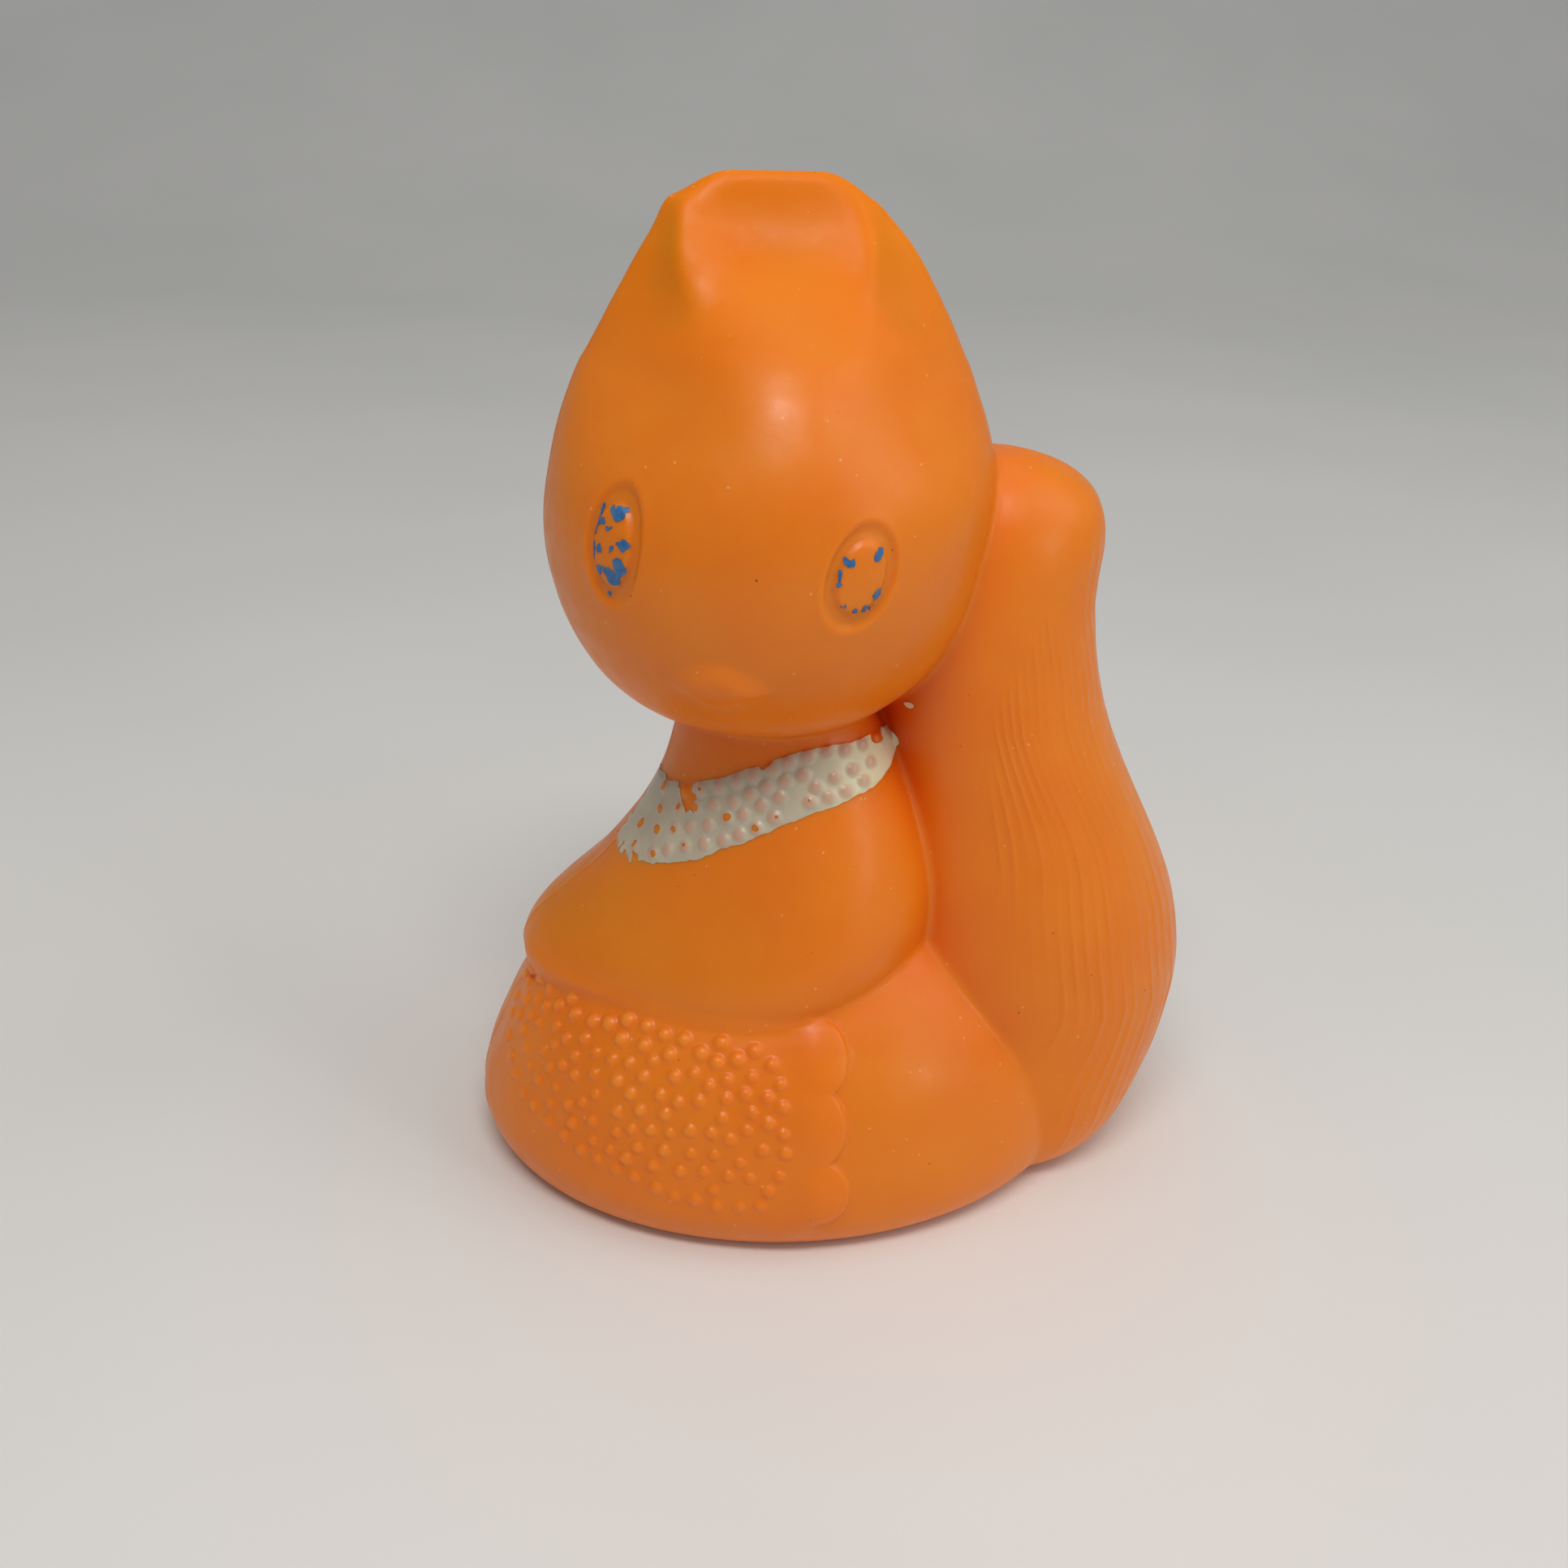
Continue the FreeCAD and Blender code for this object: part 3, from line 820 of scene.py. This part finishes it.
def orange_plastic():
    """Waxy plastic, with painted shade that makes its creases redder and a painted highlight that
    makes its bead tops paler; specked, and dull at the crown.
    """
    material, shader = new_material("orange_plastic_look", IOR=1.47, Subsurface_Weight=0.6,
                                    Subsurface_Scale=0.0028)
    shader.inputs["Subsurface Radius"].default_value = (1.0, 0.32, 0.08)
    soft = mapped(material, noise(material, 60.0, 2.0), 0.35, 0.65, 0.0, 1.0)
    base = mixed(material, soft, ORANGE, ORANGE_LIGHT)
    # The specks are real dust and dirt. The last mix is a painted highlight: paler orange on the
    # bead tops.
    for cover, share, tint in ((specks(material, 420.0, 0.10), 0.45, DUST),
                               (specks(material, 260.0, 0.055), 0.75, DIRT),
                               (attribute(material, "bead"), 0.55, BEAD_HIGHLIGHT_ORANGE)):
        base = mixed(material, calculated(material, "MULTIPLY", cover, share), base, tint)
    # Painted shade: a darker, redder orange wherever ambient occlusion finds creases and hollows.
    openness = node(material, "ShaderNodeAmbientOcclusion", samples=4, only_local=True,
                    Distance=CREASE_SHADE_REACH)
    base = mixed(material, mapped(material, openness.outputs["AO"], 0.25, 0.85, 0.0, 1.0),
                 CREASE_SHADE_ORANGE, base)
    link(material, base, shader.inputs["Base Color"])
    cloudy = noise(material, 300.0, 4.0)
    scratches = noise(material, 900.0, 2.0, ((0.3, 0.9, 0.5), (1.0, 0.04, 1.0)))
    rough = mapped(material, cloudy, 0.3, 0.7, 0.30, 0.44)
    link(material, rough, shader.inputs["Roughness"])
    place = node(material, "ShaderNodeSeparateXYZ")
    link(material, node(material, "ShaderNodeTexCoord").outputs["Object"], place.inputs[0])
    shine = mapped(material, place.outputs["Z"], *DULL_HEIGHTS, SHINE, CROWN_SHINE)
    link(material, shine, shader.inputs["Specular IOR Level"])
    within = calculated(material, "FRACT", attribute(material, "hair_across"))
    offset = calculated(material, "ABSOLUTE", calculated(material, "SUBTRACT", within, 0.5))
    strand = mapped(material, offset, 0.0, 0.28, 1.0, 0.0)
    strands = calculated(material, "MULTIPLY", strand, attribute(material, "hair_amount"))
    bumped(material, shader, ((cloudy, 0.10, 0.0004), (noise(material, 2600.0, 2.0), 0.10, 0.00008),
                              (scratches, 0.05, 0.0001), (strands, 0.5, 0.00018)))
    return material


def collar_paint_look():
    """Chalky white, pinkish where it is thin over the beads, paler and creamier towards its right
    end.
    """
    material, shader = new_material("white_paint_look", Roughness=0.30, IOR=1.5,
                                    Subsurface_Weight=0.25, Subsurface_Scale=0.001)
    clouds = mapped(material, noise(material, 180.0, 4.0), 0.35, 0.65, 0.0, 1.0)
    ground = mixed(material, clouds, *PAINT_WHITES)
    # The paint turns paler and creamier towards the collar's right end.
    ground = mixed(material, attribute(material, "right_end"), ground, PAINT_RIGHT_END)
    thin = mapped(material, attribute(material, "bead"), 0.10, 0.80, 0.0, 0.75)
    link(material, mixed(material, thin, ground, PAINT_THIN), shader.inputs["Base Color"])
    bumped(material, shader, ((noise(material, 1400.0, 3.0), 0.15, 0.0001),))
    return material


def metal(name, first, second):
    """Brushed metal in two shades."""
    material, shader = new_material(name, Metallic=1.0)
    brushed = noise(material, 900.0, 3.0, ((0.0, 0.0, 0.0), (0.06, 1.0, 1.0)))
    link(material, mixed(material, mapped(material, brushed, 0.35, 0.65, 0.0, 1.0), first, second),
         shader.inputs["Base Color"])
    link(material, mapped(material, brushed, 0.3, 0.7, 0.24, 0.42), shader.inputs["Roughness"])
    bumped(material, shader, ((brushed, 0.1, 0.00005),))
    return material


ORANGE = colour(238, 124, 10)
ORANGE_LIGHT = colour(241, 131, 16)
# The colour of the painted shade in creases and hollows.
CREASE_SHADE_ORANGE = colour(228, 84, 8)
# The colour of the painted highlight on the apron's bead tops.
BEAD_HIGHLIGHT_ORANGE = colour(255, 166, 62)
DUST = colour(250, 200, 140)
DIRT = colour(96, 48, 20)
PAINT_WHITES = (colour(186, 174, 152), colour(200, 188, 164))
PAINT_RIGHT_END = colour(232, 222, 186)
PAINT_THIN = colour(206, 158, 134)
CREASE_SHADE_REACH = 0.022      # metres; how far the painted shade in the creases reaches
DULL_HEIGHTS = (0.124, 0.138)   # metres; the plastic is worn dull above them
SHINE = 0.42
CROWN_SHINE = 0.16

plastic = clouded("squeaker_plastic_look", (240.0, 3.0, 0.35, 0.65),
                  (colour(222, 218, 206), colour(232, 229, 219)), (1800.0, 3.0, 0.12, 0.0001),
                  Roughness=0.42, Subsurface_Weight=0.15, Subsurface_Scale=0.001)
rubber = clouded("seal_rubber_look", (500.0, 3.0, 0.35, 0.65),
                 (colour(44, 42, 40), colour(58, 55, 52)), (3000.0, 3.0, 0.25, 0.0001),
                 Roughness=0.7)
blue = clouded("blue_paint_look", (900.0, 3.0, 0.35, 0.65),
               (colour(38, 92, 150), colour(62, 118, 168)), (2500.0, 2.0, 0.2, 0.00006),
               Roughness=0.42)
aluminium = metal("reed_metal_look", colour(176, 178, 180), colour(200, 202, 204))
brass = metal("reed_brass_look", colour(196, 152, 74), colour(214, 174, 96))
looks = {"squeaker_cup": plastic, "squeaker_cover": plastic, "seal_ring": rubber,
         "reed_plate": aluminium, "reed_rivet": aluminium, "reed_tongue": brass}
for name, look in looks.items():
    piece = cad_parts[name]
    for material_slot in piece.material_slots:
        material_slot.material = look

shell.data.materials.clear()
shell.data.materials.append(orange_plastic())
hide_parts("body_shell")
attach(shell, "toy")
collar_film.data.materials.append(collar_paint_look())
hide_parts("collar_paint")
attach(collar_film, "toy")
for side, piece in eye_films.items():
    piece.data.materials.append(blue)
    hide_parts("eye_paint_" + side)
    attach(piece, "toy")


# ---------------------------------------------------------------- floor, light and camera

# The floor in metres: its front and back edge, the bend behind it, its top and its half width.
FLOOR_FRONT = -1.6
FLOOR_BACK = 0.75
BEND = 0.9
BEND_STEPS = 24
FLOOR_UP_TO = 3.0
FLOOR_SIDE = 2.5


def add_floor():
    """A pale sweep: flat under the toy, and curving up well behind it."""
    mesh = bmesh.new()
    profile = [(FLOOR_FRONT, 0.0), (FLOOR_BACK, 0.0)]
    for step in range(1, BEND_STEPS + 1):
        angle = math.pi / 2.0 * step / BEND_STEPS
        profile.append((FLOOR_BACK + BEND * math.sin(angle), BEND - BEND * math.cos(angle)))
    profile.append((FLOOR_BACK + BEND, FLOOR_UP_TO))
    rows = [[mesh.verts.new((side, depth, height)) for side in (-FLOOR_SIDE, FLOOR_SIDE)]
            for depth, height in profile]
    for lower, upper in zip(rows, rows[1:]):
        mesh.faces.new((lower[0], lower[1], upper[1], upper[0]))
    result = bpy.data.meshes.new("floor")
    mesh.to_mesh(result)
    mesh.free()
    smooth_shading(result)
    floor = add_object("floor", result)
    cloth = clouded("floor_cloth", (6.0, 2.0, 0.3, 0.7),
                    (colour(226, 225, 222), colour(232, 230, 227)), (1500.0, 2.0, 0.08, 0.0002),
                    Roughness=0.9)
    floor.data.materials.append(cloth)


# Each light's name, place and the height it aims at in metres, width, height, watts and tint.
LIGHTS = (("key", (-0.06, -0.30, 0.62), 0.09, 0.42, 0.12, 1.8, (1.0, 0.98, 0.95)),
          ("strip", (0.78, -0.72, 0.36), 0.07, 0.22, 0.22, 0.8, (1.0, 0.99, 0.97)),
          ("window", (0.95, -0.35, 0.95), 0.05, 1.0, 1.0, 3.6, (1.0, 0.99, 0.97)),
          ("overhead", (0.10, 0.25, 1.40), 0.05, 1.2, 1.2, 2.1, (1.0, 0.99, 0.97)))
WORLD_TINT = (0.95, 0.98, 1.0, 1.0)
WORLD_STRENGTH = 0.275


def add_light(name, position, aim_height, width, height, power, tint):
    """An oval lamp that faces a point on the upright line through the origin."""
    light = bpy.data.lights.new(name, "AREA")
    light.shape = "ELLIPSE"
    light.size = width
    light.size_y = height
    light.energy = power
    light.color = tint
    lamp = add_object(name, light)
    lamp.location = position
    towards = Vector((0.0, 0.0, aim_height)) - Vector(position)
    lamp.rotation_euler = towards.to_track_quat("-Z", "Y").to_euler()


add_floor()
for settings in LIGHTS:
    add_light(*settings)
world = bpy.data.worlds.new("studio")
world.use_nodes = True
background = world.node_tree.nodes["Background"]
background.inputs["Color"].default_value = WORLD_TINT
background.inputs["Strength"].default_value = WORLD_STRENGTH
bpy.context.scene.world = world
bpy.context.scene.view_settings.view_transform = "Standard"

# The camera: its bearing, how far it looks down and leans, and its place in millimetres.
AZIMUTH = math.radians(-8.0)
PITCH = math.radians(26.6)
ROLL = math.radians(2.6)
REACH = 217.0
HEIGHT = 169.0
SENSOR = 36.0
FOCAL_LENGTH = 36.0186
back = Vector((math.sin(AZIMUTH) * math.cos(PITCH), -math.cos(AZIMUTH) * math.cos(PITCH),
               math.sin(PITCH)))
right = Vector((math.cos(AZIMUTH), math.sin(AZIMUTH), 0.0))
up = back.cross(right)
camera = add_object("camera", bpy.data.cameras.new("camera"))
turned = Matrix((right * math.cos(ROLL) + up * math.sin(ROLL),
                 up * math.cos(ROLL) - right * math.sin(ROLL), back)).transposed().to_4x4()
turned.translation = Vector((FIGURE_X + REACH * math.sin(AZIMUTH), -REACH * math.cos(AZIMUTH),
                             HEIGHT)) * MM
camera.matrix_world = turned
camera.data.sensor_width = SENSOR
camera.data.lens = FOCAL_LENGTH
camera.data.clip_start = 0.01
bpy.context.scene.camera = camera
